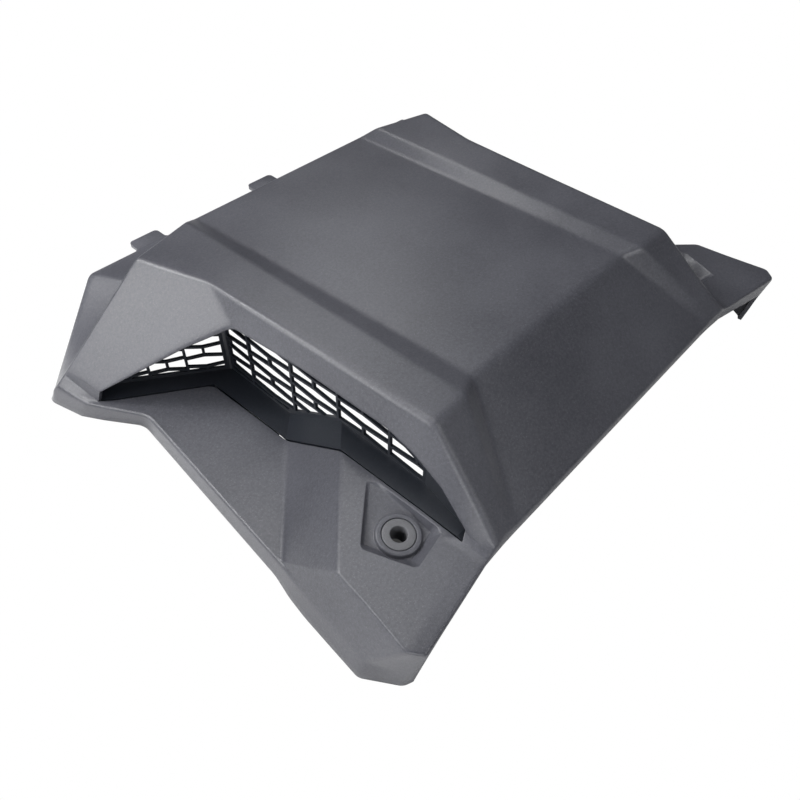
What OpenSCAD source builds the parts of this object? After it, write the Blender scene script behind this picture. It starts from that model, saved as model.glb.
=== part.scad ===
// Bonnet scoop: a thin moulded cover with a raised, ribbed hump, two side
// inlets with mesh grilles, side aprons with fastener bushes and a stepped
// rear flange with two locating tongues, in the middle and on the left.
// All but the tongues is mirror-symmetric about the YZ plane. The front faces -Y.

/* [Overall] */
// Length from the front tips to the ends of the rear tongues
cover_len = 331; // [300:1:380]
// Wall thickness of the cover
wall = 2.6; // [2:0.1:3.4]
// Bend radius of the styling creases
crease = 6; // [2:0.5:9]

/* [Hump] */
// Half width of the sunk centre panel at its front edge
panel_front_hw = 72; // [60:1:78]
// Half width of the sunk centre panel at the rear rim
panel_rear_hw = 79; // [66:1:84]
// Half width of the rib's inner shoulder
shoulder_hw = 87; // [84:1:92]
// Half width over the ribs at their front ends
rib_front_hw = 114; // [108:1:120]
// Half width over the ribs at the kink of the flank crease
rib_kink_hw = 120; // [114:1:124]
// Half width over the ribs at the rear rim
rib_rear_hw = 134; // [126:1:140]
// Height of the centre panel at its front crease
panel_front_z = 84; // [80:0.5:90]
// Height of the centre panel at the rear rim
panel_rear_z = 75.5; // [70:0.5:80]
// Height of the rib's outer crease at the front
rib_front_z = 90; // [88:0.5:98]
// Height of the rib's outer crease at the rear rim
rib_rear_z = 84; // [82:0.5:92]
// Distance from the front tips to the hump's lower front edge
nose_y = 10; // [6:0.5:14]
// Distance from the front tips to the front crease of the panel
crease_y = 69.5; // [64:0.5:76]
// Distance from the ends of the tongues to the kink of the flank crease
kink_back = 102; // [94:1:114]
// Distance from the ends of the tongues to the rear corner of the ribs
rim_back = 50; // [44:1:57]

/* [Aprons] */
// Height of the low rear apron
apron_z = 15; // [12:0.5:20]
// Height of the raised front apron
deck_z = 43.5; // [40:0.5:47]
// Half width at the skirt's widest point, the rear wing tip
wing_hw = 207.5; // [202:0.5:214]
// Half width over the skirt at the front corner
corner_hw = 201.5; // [198:0.5:206]
// Half width at the waist behind the inlet
waist_hw = 179.5; // [174:0.5:184]
// Half width of the inlet's lower edge
sill_hw = 133; // [130:0.5:137]
// Depth of the return lip along the front edge
front_lip = 10; // [7:0.5:13]

/* [Rear flange] */
// Height of the sunk rear flange
flange_z = 60; // [55:0.5:65]
// Half width of the rear flange at its straight edge
flange_hw = 150; // [144:1:156]
// Length of a tongue beyond the flange
tongue_len = 12; // [8:0.5:16]
// Width of a tongue
tongue_w = 22; // [16:0.5:28]
// Distance between the two tongues
tongue_pitch = 102; // [90:1:112]

/* [Grilles] */
// Half width at the face of the long mesh wall
mesh_hw = 115; // [113:0.5:118]
// Thickness of the grille
grille_t = 2; // [1.6:0.1:2.4]
// Distance between the mesh's full-height posts
post_pitch = 39; // [34:0.5:44]
// Height of one row of mesh
row_pitch = 8.5; // [7.5:0.1:10]
// Width of a mesh strand
strand = 1.6; // [1.2:0.1:2]

/* [Bushes] */
// Bore of the bush
bush_bore = 9; // [8:0.1:10]
// Diameter of the bush's face
bush_d = 17.6; // [16:0.1:19]
// Diameter of the boss round the bush
boss_d = 24.6; // [23:0.1:26]
// Forward lean of the bush's axis, in degrees
bush_lean = 9; // [7:0.5:11]

/* [Hidden] */
fit = 0.3;
deck_hw = 190;
kink_y = cover_len - kink_back;
rim_y = cover_len - rim_back;
flange_y = cover_len - tongue_len;
foot_y = rim_y + 22.5;
shoulder_foot = [112, nose_y, deck_z + 1.5];
panel_foot = [104, nose_y, deck_z + 0.5];
bend_steps = 2;
inlet_z = 72.2;
boss_h = 2.2;
bush_face_h = 1.6;
bush_neck_d = 13;
bush_neck_h = 7.5;
barb_h = 2.4;
bush_len = boss_h + bush_neck_h + wall + fit + barb_h;
stake_d = 3;
ramp_front = 108;
ramp_rear = 154.5;
mesh_front_y = 60;
mesh_corner_y = kink_y - 0.5;
post_y = kink_y - 25;
mesh_top_z = 77;
pinch = 1.5;
short_pitch = 24;
short_turn = 35.3;
sill_gap = 1.5;
ledge_w = 7;
ledge_t = 2;

// Vector helpers
function unit(v) = v / norm(v);
function mix(a, b, t) = a * (1 - t) + b * t;
function flip(p) = [-p[0], p[1], p[2]];
function transpose(g) = [for (j = [0:len(g[0]) - 1]) [for (row = g) row[j]]];
function whole(half) = concat([for (p = half) flip(p)], [for (k = [len(half) - 1:-1:0]) half[k]]);

// Rounds the corner b between a and c with a quadratic bend that starts r away from it
function bend(a, b, c, r) =
    let (
        p = b + unit(a - b) * min(r, norm(a - b) * 0.45),
        q = b + unit(c - b) * min(r, norm(c - b) * 0.45)
    )
    [for (k = [0:bend_steps]) let (t = k / bend_steps) mix(mix(p, b, t), mix(b, q, t), t)];

// Rounds the inner points of a line, each with its own reach; a reach of 0 keeps the point
function soften(line, reach) = [
    for (k = [0:len(line) - 1]) each
        reach[k] == 0 ? [line[k]] : bend(line[k - 1], line[k], line[k + 1], reach[k])
];

// Rounds a grid of points along its rows and then along its columns
function soften_grid(grid, row_reach, column_reach) =
    let (rows = [for (row = grid) soften(row, row_reach)])
    transpose([for (column = transpose(rows)) soften(column, column_reach)]);

// Place of key point k in a softened line
function place(reach, k) = k == 0 ? 0 : place(reach, k - 1) + (reach[k - 1] == 0 ? 1 : bend_steps + 1);

// Is the cell at row i and column j part of the wall, or in one of the openings?
function solid(i, j, open) =
    len([for (o = open) if (i >= o[0] && i < o[1] && j >= o[2] && j < o[3]) 1]) == 0;
function inside(g, i, j) = i >= 0 && j >= 0 && i < len(g) - 1 && j < len(g[0]) - 1;
function cell_normal(g, i, j) = unit(cross(g[i + 1][j + 1] - g[i][j], g[i + 1][j] - g[i][j + 1]));

// Moves every point of a grid a distance t inwards, square to the cells that meet there
function inset(g, t, open = []) = [
    for (i = [0:len(g) - 1]) [
        for (j = [0:len(g[0]) - 1])
            let (
                normals = [
                    for (a = [i - 1, i]) for (b = [j - 1, j])
                        if (inside(g, a, b) && solid(a, b, open)) cell_normal(g, a, b)
                ],
                n = unit(sum(normals)),
                p = g[i][j] - n * t / max(0.6, min([for (m = normals) m * n]))
            )
            [p[0], p[1], max(p[2], 0)]
    ]
];

function sum(list, k = 0) = k == len(list) - 1 ? list[k] : list[k] + sum(list, k + 1);

// A wall between two grids of points, without the cells in its openings
module sheet(outer, inner, open = []) {
    rows = len(outer);
    cols = len(outer[0]);
    count = rows * cols;
    cells = [for (i = [0:rows - 2]) for (j = [0:cols - 2]) if (solid(i, j, open)) [i, j]];
    skins = [for (c = cells) let (a = c[0] * cols + c[1]) each [
        [a, a + cols, a + 1],
        [a + 1, a + cols, a + cols + 1],
        [count + a, count + a + 1, count + a + cols],
        [count + a + 1, count + a + cols + 1, count + a + cols]
    ]];
    function gap(i, j) = !inside(outer, i, j) || !solid(i, j, open);
    edges = [for (c = cells) let (i = c[0], j = c[1], a = i * cols + j) each [
        if (gap(i - 1, j)) [a, a + 1],
        if (gap(i + 1, j)) [a + cols + 1, a + cols],
        if (gap(i, j - 1)) [a + cols, a],
        if (gap(i, j + 1)) [a + 1, a + cols + 1]
    ]];
    rims = [for (e = edges) each [
        [e[0], e[1], count + e[0]],
        [e[1], count + e[1], count + e[0]]
    ]];
    polyhedron(
        points = concat([for (row = outer) each row], [for (row = inner) each row]),
        faces = concat(skins, rims),
        convexity = 8
    );
}

// Points of the rib's front end: t runs from 0 at the lower front edge to 1 at the front crease
rib_foot = [121.5, nose_y - 1, deck_z + 3];
function rib_end(t) = mix(rib_foot, [rib_front_hw, crease_y - 8.5, rib_front_z], t);
function shoulder_end(t) = mix(shoulder_foot, [shoulder_hw, crease_y - 7, rib_front_z - 4], t);
function panel_end(t) = mix(panel_foot, [panel_front_hw, crease_y, panel_front_z], t);

// Points of the ribs and the panel between the front crease (0), the kink (1) and the rear rim (2)
rib_kink = [rib_kink_hw, kink_y, rib_front_z - 3];
rib_rear = [rib_rear_hw, rim_y, rib_rear_z];
shoulder_rear = [shoulder_hw + 1, rim_y + 12, rib_rear_z - 3.5];
panel_rear = [panel_rear_hw, rim_y + 18.5, panel_rear_z];
function rib(t) = t < 1 ? mix(rib_end(1), rib_kink, t) : mix(rib_kink, rib_rear, t - 1);
function shoulder(t) = mix(shoulder_end(1), shoulder_rear, t < 1 ? t * 0.73 : 0.73 + (t - 1) * 0.27);
function panel(t) = mix(panel_end(1), panel_rear, t < 1 ? t * 0.7 : 0.7 + (t - 1) * 0.3);

// The rim over the wing: t runs from 0 at the rear corner of the rib to 1 at the wing's tip
function wing_rim(t) = mix(rib_rear, [wing_hw - 3.1, rim_y + 11.5, apron_z + 0.6], t);
function wing_foot(t) = wing_rim(t) + [mix(3.8, 1.2, t), mix(3.5, 2.8, t), mix(-18, -3.1, t)];
function wing_edge(t) = mix([flange_hw, flange_y, flange_z], [wing_hw - 0.2, rim_y + 21.5, 0], t);

// Key points of the right half, row by row from the front edge to the rear flange. Each row
// runs from the skirt's foot over its crease, the deck's edge, the inlet's sill, the inlet's
// upper edge, the rib's crease and its shoulder to the edge of the panel
cover_half = [
    // lower end of the return lip
    [
        [deck_hw - 5.5, 7, 0],
        [deck_hw - 6.5, 5, 13],
        [deck_hw - 9, 3, deck_z - front_lip - 6],
        [sill_hw - 2, nose_y + 1.5, deck_z - front_lip - 2],
        [sill_hw - 6.5, nose_y + 1.5, deck_z - front_lip - 1.5],
        [rib_foot[0] - 2, nose_y + 1.8, deck_z - front_lip - 1],
        [shoulder_foot[0], nose_y + 2, deck_z - front_lip - 0.5],
        [panel_foot[0], nose_y + 2, deck_z - front_lip]
    ],
    // front edge
    [
        [deck_hw - 0.5, 9, 0],
        [deck_hw - 1.5, 6, 14],
        [deck_hw - 4.5, -1, deck_z - 1],
        [sill_hw - 2.5, nose_y - 1.3, deck_z],
        [sill_hw - 6.5, nose_y - 1, deck_z + 1],
        rib_end(0),
        shoulder_end(0),
        panel_end(0)
    ],
    // front end of the inlet
    [
        [corner_hw, 28, 0],
        [corner_hw - 3.7, 26.6, apron_z],
        [deck_hw + 0.8, 7, deck_z],
        [sill_hw - 1.8, 22, deck_z + 0.6],
        [sill_hw - 4.8, 24.5, deck_z + 4.5],
        rib_end(0.28),
        shoulder_end(0.28),
        panel_end(0.28)
    ],
    // middle of the rib's front end
    [
        [corner_hw - 1.7, 49, 0],
        [corner_hw - 5.1, 44, apron_z],
        [deck_hw - 1.3, 20, deck_z],
        [sill_hw - 2, 52, deck_z + 0.6],
        [sill_hw - 8.4, 45.7, deck_z + 17.5],
        rib_end(0.7),
        shoulder_end(0.7),
        panel_end(0.7)
    ],
    // front crease of the panel
    [
        [corner_hw - 3.5, 70, 0],
        [corner_hw - 6.5, 62, apron_z],
        [deck_hw - 3.7, 36, deck_z],
        [sill_hw - 1.5, 84, deck_z + 0.6],
        [sill_hw - 10.4, 66, inlet_z - 4],
        rib_end(1),
        shoulder_end(1),
        panel_end(1)
    ],
    // top of the apron's ramp
    [
        [corner_hw - 5.5, 84, 0],
        [corner_hw - 8.3, 79, apron_z],
        [deck_hw - 6, ramp_front - 50.5, deck_z],
        [sill_hw - 1, ramp_front, deck_z + 0.5],
        [sill_hw - 11.3, 85, inlet_z - 0.5],
        rib(0.2),
        shoulder(0.2),
        panel(0.2)
    ],
    // foot of the ramp
    [
        [deck_hw + 2.5, 99, 0],
        [deck_hw + 0.8, 94, apron_z],
        [deck_hw - 2.2, 96.6, apron_z],
        [sill_hw + 0.3, ramp_rear, apron_z],
        [sill_hw - 9.6, 150, inlet_z],
        rib(0.55),
        shoulder(0.55),
        panel(0.55)
    ],
    // apex of the inlet, waist of the skirt and kink of the flank
    [
        [waist_hw - 0.2, kink_y + 10, 0],
        [waist_hw - 0.7, kink_y + 2, apron_z],
        [waist_hw - 5.5, kink_y + 2.5, apron_z],
        [sill_hw + 2, kink_y - 6, apron_z],
        [sill_hw - 5.5, kink_y - 27.5, inlet_z - 0.5],
        rib(1),
        shoulder(1),
        panel(1)
    ],
    // notch in the inlet's sill
    [
        [waist_hw + 15, rim_y - 19, 0],
        [waist_hw + 11.5, rim_y - 28.6, apron_z],
        [waist_hw + 7.5, rim_y - 26.7, apron_z],
        [waist_hw + 4, rim_y - 25.4, apron_z],
        [sill_hw + 17, kink_y - 5, inlet_z - 16.6],
        rib(1.35),
        shoulder(1.35),
        panel(1.35)
    ],
    // rear tip of the inlet
    [
        [wing_hw - 5.5, rim_y - 6, 0],
        [wing_hw - 8.7, rim_y - 14, apron_z],
        [wing_hw - 12.6, rim_y - 16.2, apron_z],
        [wing_hw - 14.9, rim_y - 17.6, apron_z],
        [wing_hw - 16.3, rim_y - 18.7, apron_z + 7.3],
        rib(1.8),
        shoulder(1.8),
        panel(1.8)
    ],
    // rear rim
    [
        [wing_hw + 0.4, rim_y + 16.5, 0],
        wing_rim(1),
        wing_rim(0.945),
        wing_rim(0.895),
        wing_rim(0.845),
        rib_rear,
        shoulder_rear,
        panel_rear
    ],
    // foot of the step behind the rim
    [
        [wing_hw + 0.6, rim_y + 19.2, 0],
        wing_foot(1),
        wing_foot(0.945),
        wing_foot(0.895),
        wing_foot(0.845),
        wing_foot(0),
        [shoulder_rear[0] + 4, shoulder_rear[1] + 4, flange_z + 2],
        [panel_rear[0] + 1.5, foot_y, flange_z + 0.5]
    ],
    // rear edge of the flange
    [
        wing_edge(1),
        wing_edge(0.91),
        wing_edge(0.84),
        wing_edge(0.78),
        wing_edge(0.72),
        wing_edge(0),
        [shoulder_rear[0] + 12, flange_y, flange_z],
        [panel_rear[0] + 3, flange_y, flange_z]
    ]
];

// How far the inlet's upper edge turns in, row by row; where the wall is closed the lip's key
// point lies halfway up from the sill
lip_turn = [0, 0, 1.2, 3.5, 4, 4, 4.5, 5, 4, 1.2, 0, 0, 0];
function with_lip(row, turn) = [
    for (k = [0:len(row) - 1]) each
        k != 4 ? [row[k]]
        : turn > 0 ? [row[k] - [turn, 0, turn * 0.15], row[k]]
        : [(row[k - 1] + row[k]) / 2, row[k]]
];

cover_keys = [for (k = [0:len(cover_half) - 1]) whole(with_lip(cover_half[k], lip_turn[k]))];

// How far each crease is rounded, and whether it bends outwards (1) or inwards (-1)
half_reach = [0, 4, 3, 0, 0, 3.6, crease, 3, 3];
half_fold = [0, 1, 1, 0, 0, 1, 1, 1, -1];
row_reach = concat(half_reach, [for (k = [8:-1:0]) half_reach[k]]);
row_fold = concat(half_fold, [for (k = [8:-1:0]) half_fold[k]]);
column_reach = [0, 4, 3, 0, 5, 3, 4, 8, 0, 0, 3, 3, 0];
column_fold = [0, 1, 1, 0, 1, 1, -1, 1, 0, 0, 1, -1, 0];
function inner_reach(reach, fold) =
    [for (k = [0:len(reach) - 1]) reach[k] == 0 ? 0 : max(0.8, reach[k] - 0.7 * wall * fold[k])];

// The openings, as the first and last of their rows and the columns of their sills
inlet_rows = [2, 9];
inlet_columns = [3, 13];
key_open = [for (k = inlet_columns) [inlet_rows[0], inlet_rows[1], k, k + 1]];
fine_open = [
    for (k = inlet_columns) [
        place(column_reach, inlet_rows[0]) + bend_steps,
        place(column_reach, inlet_rows[1]),
        place(row_reach, k),
        place(row_reach, k) + 1
    ]
];

module cover_wall() {
    sheet(
        soften_grid(cover_keys, row_reach, column_reach),
        soften_grid(
            inset(cover_keys, wall, key_open),
            inner_reach(row_reach, row_fold),
            inner_reach(column_reach, column_fold)
        ),
        fine_open
    );
}

// The pocket for a fastener: its floor, square to the bush's axis, and its mouth in the deck,
// both with the bush at the origin
bush_at = [147.3, 52, 38.6];
pocket_floor = [[-11.3, 31.5], [-13.9, 5.6], [-13.3, -10], [5.5, -13.1], [16.7, 9.2]];
pocket_mouth = [
    [-10.3, 32.2], [-14, 28], [-14.5, -13.4], [-12.6, -16.7],
    [8, -20.7], [10.1, -19.1], [19.7, 5.3], [19.1, 7.6]
];

module at_bush() {
    translate(bush_at) rotate([bush_lean, 0, 0]) children();
}

module at_mouth(z) {
    translate([bush_at[0], bush_at[1], z]) children();
}

// The space over the pocket's floor, wider at its mouth
module pocket() {
    hull() {
        at_bush() linear_extrude(0.1) polygon(pocket_floor);
        at_mouth(deck_z + 0.3) linear_extrude(5) polygon(pocket_mouth);
    }
}

// How far the tray reaches round the pocket's floor and mouth
tray_round_floor = 1.6;
tray_round_mouth = 2.4;

// The pocket's tray, a wall's thickness round its space, kept clear of the inlet's sill
module pocket_tray() {
    intersection() {
        hull() {
            at_bush()
                translate([0, 0, -wall])
                    linear_extrude(0.1) offset(r = tray_round_floor, $fn = 24) polygon(pocket_floor);
            at_mouth(deck_z - wall)
                linear_extrude(wall / 2) offset(r = tray_round_mouth, $fn = 24) polygon(pocket_mouth);
        }
        translate([sill_hw - 1.4, 0, 0]) cube([wing_hw, cover_len, deck_z]);
    }
}

// The boss round the bush, and the collar under it
module fastener_seat() {
    at_bush() {
        cylinder(h = boss_h, d1 = boss_d, d2 = boss_d - 1, $fn = 48);
        translate([0, 0, -bush_neck_h - wall + 0.1]) cylinder(h = bush_neck_h, d = boss_d - 4, $fn = 32);
    }
}

module bush_hole() {
    at_bush() {
        translate([0, 0, boss_h - bush_face_h]) cylinder(h = 8, d = bush_d + 2 * fit, $fn = 48);
        translate([0, 0, -20]) cylinder(h = 40, d = bush_neck_d + 2 * fit, $fn = 32);
    }
}

// Pins under the apron whose heads hold the grille's ledge
stakes = [
    [sill_hw + 3.5, mix(ramp_rear, kink_y, 0.3)],
    [sill_hw + 4.5, mix(ramp_rear, kink_y, 0.7)],
    [sill_hw + 29, kink_y + 7.5]
];
module stakes(d, length, head) {
    for (at = stakes)
        translate([at[0], at[1], apron_z - length]) {
            cylinder(h = length - wall / 2, d = d, $fn = 24);
            if (head)
                cylinder(h = 1.2, d = 2 * d, $fn = 24);
        }
}

module tongues() {
    for (k = [-1, 0])
        translate([k * tongue_pitch, cover_len - tongue_len - 4, flange_z - wall])
            hull() {
                translate([-tongue_w / 2 - 1, 0, 0]) cube([tongue_w + 2, 1, wall]);
                for (side = [-1, 1])
                    translate([side * (tongue_w / 2 - 3), tongue_len + 1, 0])
                        cylinder(h = wall, r = 3, $fn = 24);
            }
}

// Gussets under the tongues' roots
module gussets() {
    for (k = [-1, 0])
        translate([k * tongue_pitch - 1, cover_len - tongue_len - 14, flange_z - wall])
            hull() {
                translate([0, 0, -0.5]) cube([2, 22, 1]);
                translate([0, 0, -7]) cube([2, 3, 1]);
            }
}

module cover_shell() {
    color("#3c3d42")
    translate([0, -cover_len / 2, 0])
        difference() {
            union() {
                cover_wall();
                for (side = [0, 1])
                    mirror([side, 0, 0]) {
                        pocket_tray();
                        fastener_seat();
                        stakes(stake_d, wall + ledge_t + fit + 1.5, true);
                    }
                tongues();
                gussets();
            }
            for (side = [0, 1])
                mirror([side, 0, 0]) {
                    pocket();
                    bush_hole();
                }
        }
}

// The grille's floor, level with the apron: its mesh wall's foot and its edge along the sill
floor_keys = [
    [[mesh_hw + 6, nose_y + 7, deck_z - wall - 0.7], [sill_hw - sill_gap - 2, nose_y + 6, deck_z - wall - 0.7]],
    [[mesh_hw + 5, nose_y + 18, deck_z + 0.5], [sill_hw - sill_gap - 2.9, nose_y + 19, deck_z + 0.5]],
    [[mesh_hw, mesh_front_y, deck_z + 0.5], [sill_hw - sill_gap - 1.9, 55, deck_z + 0.5]],
    [[mesh_hw, ramp_front + 17, deck_z + 0.5], [sill_hw - sill_gap - 1, ramp_front + 1.5, deck_z + 0.5]],
    [[mesh_hw, ramp_rear + 17, apron_z], [sill_hw - sill_gap + 0.3, ramp_rear + 1.5, apron_z]],
    [[mesh_hw, mesh_corner_y, apron_z], [sill_hw - sill_gap + 2, kink_y - 5.3, apron_z]],
    [[waist_hw - 8.5, rim_y - 13, apron_z], [waist_hw + 3, rim_y - 24, apron_z]],
    [[waist_hw + 4.5, rim_y - 4, apron_z], [waist_hw + 9.5, rim_y - 16.3, apron_z]]
];

// The ledge that carries the grille under the apron
ledge_keys = [
    [[sill_hw - 5, ramp_rear + 12, apron_z], [sill_hw + ledge_w + 1, ramp_rear + 4, apron_z]],
    [[sill_hw - 3, kink_y - 4, apron_z], [sill_hw + ledge_w + 2, kink_y - 10, apron_z]],
    [[sill_hw + 31, kink_y + 19, apron_z], [sill_hw + 36.5, kink_y + 8, apron_z]]
];

module grille_floor() {
    floor_t = wall + fit + 0.6;
    sheet(floor_keys, inset(floor_keys, floor_t));
    difference() {
        sheet(inset(ledge_keys, wall + fit), inset(ledge_keys, wall + fit + ledge_t));
        stakes(stake_d + 2 * fit, wall + ledge_t + 4, false);
    }
}

// One stretched hexagon of the mesh, widest at its middle
module mesh_hole(length) {
    low = (row_pitch - pinch - strand) / 2;
    high = (row_pitch + pinch - strand) / 2;
    polygon([
        [-length / 2, -low], [0, -high], [length / 2, -low],
        [length / 2, low], [0, high], [-length / 2, low]
    ]);
}

// Two half-length holes with a short post between them
module split_hole(length) {
    low = (row_pitch - pinch - strand) / 2;
    high = (row_pitch + pinch - strand) / 2;
    for (side = [0, 1])
        mirror([side, 0])
            polygon([[strand / 2, -low], [length / 2, -high], [length / 2, high], [strand / 2, low]]);
}

// Rows of holes between full-height posts, every other hole split in two
module mesh_rows(start, pitch, bays) {
    for (bay = [0:bays - 1], row = [0:7])
        translate([start + (bay + 0.5) * pitch, apron_z + 0.6 + row * row_pitch])
            if ((bay + row) % 2 == 0)
                mesh_hole(pitch - strand);
            else
                split_hole(pitch - strand);
}

// A mesh wall: its outline, less the rows of holes inside the window
module mesh_wall(outline, window, start, pitch, bays) {
    linear_extrude(grille_t)
        difference() {
            polygon(outline);
            intersection() {
                mesh_rows(start, pitch, bays);
                polygon(window);
            }
        }
}

// The long wall, as [distance from its front end, height]
long_len = mesh_corner_y - mesh_front_y;
ramp_from = ramp_front + 17 - mesh_front_y;
ramp_to = ramp_rear + 17 - mesh_front_y;
long_outline = [
    [0, deck_z - 1], [0, deck_z + 14], [46, mesh_top_z], [long_len, mesh_top_z],
    [long_len, apron_z - 1], [ramp_to, apron_z - 1], [ramp_from, deck_z - 1]
];
long_window = [
    [3, deck_z + 2], [3, deck_z + 12], [46, mesh_top_z - 2], [long_len - 4, mesh_top_z - 2],
    [long_len - 4, apron_z + 2], [ramp_to, apron_z + 2], [ramp_from, deck_z + 2]
];

// The short wall, as [distance from the corner, height]
short_len = 84;
short_outline = [
    [0, apron_z - 1], [0, mesh_top_z], [14, mesh_top_z - 2],
    [short_len, apron_z + 7.5], [short_len, apron_z - 1]
];
short_window = [
    [3, apron_z + 2], [3, mesh_top_z - 2], [13, mesh_top_z - 4], [short_len - 12, apron_z + 10],
    [short_len - 12, apron_z + 2]
];

module grille() {
    translate([0, -cover_len / 2, 0]) {
        grille_floor();
        translate([mesh_hw, mesh_front_y, 0]) rotate([90, 0, 90])
            mesh_wall(long_outline, long_window, post_y - mesh_front_y - 4 * post_pitch, post_pitch, 5);
        translate([mesh_hw + 1, mesh_corner_y, 0]) rotate([0, 0, short_turn]) rotate([90, 0, 0])
            mesh_wall(short_outline, short_window, 3 - short_pitch, short_pitch, 5);
        translate([mesh_hw + 1, mesh_corner_y, apron_z - 1])
            cylinder(h = mesh_top_z - apron_z, d = 5, $fn = 24);
    }
}

// A flanged bush that snaps through the boss
module bush() {
    translate([0, -cover_len / 2, 0])
        at_bush()
            translate([0, 0, boss_h])
                rotate_extrude($fn = 48)
                    polygon([
                        [bush_bore / 2, 0], [bush_d / 2 - 0.5, 0], [bush_d / 2, -0.5],
                        [bush_d / 2, -bush_face_h],
                        [bush_neck_d / 2, -bush_face_h], [bush_neck_d / 2, -bush_len + barb_h],
                        [bush_neck_d / 2 + 1.5, -bush_len + barb_h], [bush_neck_d / 2 + 0.5, -bush_len],
                        [bush_bore / 2, -bush_len]
                    ]);
}

module grille_left() { color("#1c1e22") mirror([1, 0, 0]) grille(); }
module grille_right() { color("#1c1e22") grille(); }
module bush_left() { color("#4a4b50") mirror([1, 0, 0]) bush(); }
module bush_right() { color("#4a4b50") bush(); }

cover_shell();
grille_left();
grille_right();
bush_left();
bush_right();
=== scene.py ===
"""Bonnet scoop: a moulded cover with two mesh inlets and two fastener bushes.

The cover is one numpy grid of key points whose creases are rounded, closed with an inner skin.
Lengths in the tables are millimetres from the front tips, as a maker would measure them.
"""
import math

import bmesh
import bpy
import numpy as np
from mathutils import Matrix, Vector


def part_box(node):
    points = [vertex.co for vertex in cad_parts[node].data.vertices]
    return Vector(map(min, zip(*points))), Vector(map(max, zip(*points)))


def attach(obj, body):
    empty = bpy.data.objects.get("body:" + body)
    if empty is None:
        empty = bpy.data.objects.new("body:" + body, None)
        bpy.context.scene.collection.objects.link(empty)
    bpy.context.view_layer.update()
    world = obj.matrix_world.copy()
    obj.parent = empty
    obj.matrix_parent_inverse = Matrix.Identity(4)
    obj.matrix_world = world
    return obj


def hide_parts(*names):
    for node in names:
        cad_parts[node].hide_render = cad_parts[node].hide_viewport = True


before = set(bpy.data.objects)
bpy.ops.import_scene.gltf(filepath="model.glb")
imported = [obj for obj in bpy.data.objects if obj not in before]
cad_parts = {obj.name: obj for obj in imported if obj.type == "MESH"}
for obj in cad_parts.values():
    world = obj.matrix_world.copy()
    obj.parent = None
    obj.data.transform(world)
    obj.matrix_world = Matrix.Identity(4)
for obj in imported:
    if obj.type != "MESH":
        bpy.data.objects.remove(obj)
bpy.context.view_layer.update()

MM = 0.001
cover_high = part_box("cover_shell")[1]
COVER_LEN = 331.0
# Where the front tips lie in the part's own frame
FRONT_Y = cover_high[1] / MM - COVER_LEN
WALL = 2.6

# Main levels, half widths (HW) and distances from the front tips
NOSE_Y = 10.0
DECK_Z = 43.5
APRON_Z = 15.0
SILL_HW = 133.0
CORNER_HW = 201.5
WING_HW = 207.5
INLET_Z = 72.2
RIM_Y = 281.0
TONGUE_LEN = 12.0
FLANGE_Z = 60.0
FLANGE_Y = COVER_LEN - TONGUE_LEN
LIP_Z = DECK_Z - 10.0

# Cells across a rounded crease, and the length of a cell between creases
BEND_STEPS = 6
CELL = 7.0


def point(x, y, z):
    """A point or a shift, as an array."""
    return np.array([x, y, z], dtype=float)


def mix(a, b, t):
    """Straight line from a (t = 0) to b (t = 1)."""
    return a * (1 - t) + b * t


RIB_FRONT = point(114, 61, 89.2)
RIB_KINK = point(120, 229, 87)
RIB_REAR = point(134, RIM_Y, 84)
SHOULDER_FRONT = point(87, 62.5, 88.2)
SHOULDER_REAR = point(89, RIM_Y + 12, 83)
PANEL_FRONT = point(73, 69.5, 85.2)
PANEL_REAR = point(78, RIM_Y + 18.5, 77.3)
WING_TIP = point(WING_HW - 3.1, RIM_Y + 11.5, APRON_Z + 0.6)


def rib_end(t):
    """Front end of the rib, from the lower front edge (0) to the front crease (1)."""
    return mix(point(121.5, NOSE_Y - 1, DECK_Z + 3), RIB_FRONT, t)


def shoulder_end(t):
    """Front end of the rib's inner shoulder, from the lower front edge to the front crease."""
    return mix(point(112, NOSE_Y, DECK_Z + 1.5), SHOULDER_FRONT, t)


def panel_end(t):
    """Front end of the centre panel's edge, from the lower front edge to the front crease."""
    return mix(point(104, NOSE_Y, DECK_Z + 0.5), PANEL_FRONT, t)


def rib(t):
    """Outer crease of the rib, from the front crease (0) over the kink (1) to the rear rim (2)."""
    return mix(RIB_FRONT, RIB_KINK, t) if t < 1 else mix(RIB_KINK, RIB_REAR, t - 1)


# How far along the shoulder and the panel's edge the rib's kink lies, from 0 to 1
SHOULDER_KINK = 0.73
PANEL_KINK = 0.7


def share(t, kink):
    """Bent ruler: 0 to kink while t runs from 0 to 1, and kink to 1 while it runs on to 2."""
    return t * kink if t < 1 else kink + (t - 1) * (1 - kink)


def shoulder(t):
    """Inner shoulder of the rib, a straight line with the rib's own t."""
    return mix(SHOULDER_FRONT, SHOULDER_REAR, share(t, SHOULDER_KINK))


def panel(t):
    """Edge of the centre panel, a straight line with the rib's own t."""
    return mix(PANEL_FRONT, PANEL_REAR, share(t, PANEL_KINK))


def wing_rim(t):
    """The rim over the wing, from the rib's rear corner (0) to the wing's tip (1)."""
    return mix(RIB_REAR, WING_TIP, t)


def wing_foot(t):
    """Foot of the step behind the rim: deep at the rib's corner, shallow at the wing's tip."""
    return wing_rim(t) + mix(point(3.8, 3.5, -18), point(1.2, 2.8, -3.1), t)


def wing_edge(t):
    """Slanting rear edge of the flange, from its straight part (0) to the skirt's foot (1)."""
    return mix(point(150, FLANGE_Y, FLANGE_Z), point(WING_HW - 0.2, RIM_Y + 21.5, 0), t)


# Where the lines from the skirt's crease to the inlet's upper edge end on the rim and its foot,
# and where those from the skirt's foot to the rib end on the flange's slanting edge
RIM_STOPS = (1, 0.945, 0.895, 0.845)
EDGE_STOPS = (1, 0.91, 0.84, 0.78, 0.72, 0)


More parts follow.
